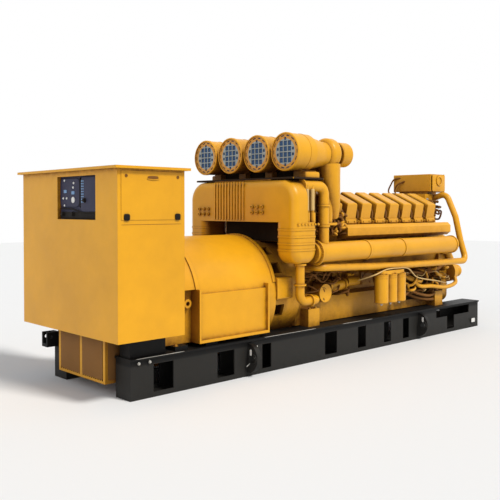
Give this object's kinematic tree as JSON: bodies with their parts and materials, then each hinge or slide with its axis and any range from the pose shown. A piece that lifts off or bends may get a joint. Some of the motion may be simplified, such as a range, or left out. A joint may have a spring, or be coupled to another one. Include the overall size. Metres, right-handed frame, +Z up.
{
  "type": "gas engine generator",
  "caption": "Stationary engine generator on a steel skid: vee engine, round generator, tall control cabinet, turbochargers and a row of drum air cleaners.",
  "frame": {"origin": "bottom centre of the bounding box, under the middle of the set", "axes": "+X from the control cabinet to the engine's front end, +Z up, the oil filters on the -Y side"},
  "size_m": [6.704, 1.9598, 2.6918],
  "materials": {
    "yellow_paint": "satin",
    "black_paint": "satin",
    "filter_paper": "matte",
    "panel_face": "matte",
    "dark_steel": "satin",
    "grille_paint": "satin"
  },
  "bodies": {
    "root": {"air_cleaner_cradle": "yellow_paint", "air_cleaner_grilles": "grille_paint", "air_cleaners": "yellow_paint", "air_manifold_far": "yellow_paint", "air_manifold_near": "yellow_paint", "box_side_covers": "yellow_paint", "charge_air_ducts": "yellow_paint", "control_box": "yellow_paint", "control_box_roof": "yellow_paint", "control_box_stands": "black_paint", "control_panel": "panel_face", "coolant_pipe_far": "yellow_paint", "coolant_pipe_near": "yellow_paint", "cooler_elbow_far": "yellow_paint", "cooler_elbow_near": "yellow_paint", "cooler_housing": "yellow_paint", "cooler_pedestal": "yellow_paint", "cooler_pipes": "yellow_paint", "coupling_brackets": "yellow_paint", "coupling_housing": "yellow_paint", "crank_damper": "yellow_paint", "crankcase_covers": "yellow_paint", "cylinder_heads_far": "yellow_paint", "cylinder_heads_near": "yellow_paint", "drive_coupling": "dark_steel", "elbow_drain_pipe": "yellow_paint", "engine_block": "yellow_paint", "engine_feet": "yellow_paint", "filter_elements": "filter_paper", "flywheel_housing": "yellow_paint", "front_housing": "yellow_paint", "generator_frame": "yellow_paint", "generator_pads": "black_paint", "generator_rear_bell": "yellow_paint", "inlet_guard": "yellow_paint", "junction_box": "yellow_paint", "junction_box_bracket": "yellow_paint", "lifting_lugs": "black_paint", "oil_cooler": "yellow_paint", "oil_filter_head": "yellow_paint", "oil_filters": "yellow_paint", "oil_pan": "yellow_paint", "rear_end_bracket": "black_paint", "rocker_covers_far": "yellow_paint", "rocker_covers_near": "yellow_paint", "side_pump": "yellow_paint", "skid_cross_members": "black_paint", "skid_rail_far": "black_paint", "skid_rail_near": "black_paint", "starter_motor": "yellow_paint", "turbocharger_stand": "yellow_paint", "turbochargers": "yellow_paint", "water_outlet": "yellow_paint", "water_pumps": "yellow_paint", "water_rail_far": "yellow_paint", "water_rail_near": "yellow_paint"}
  },
  "joints": []
}
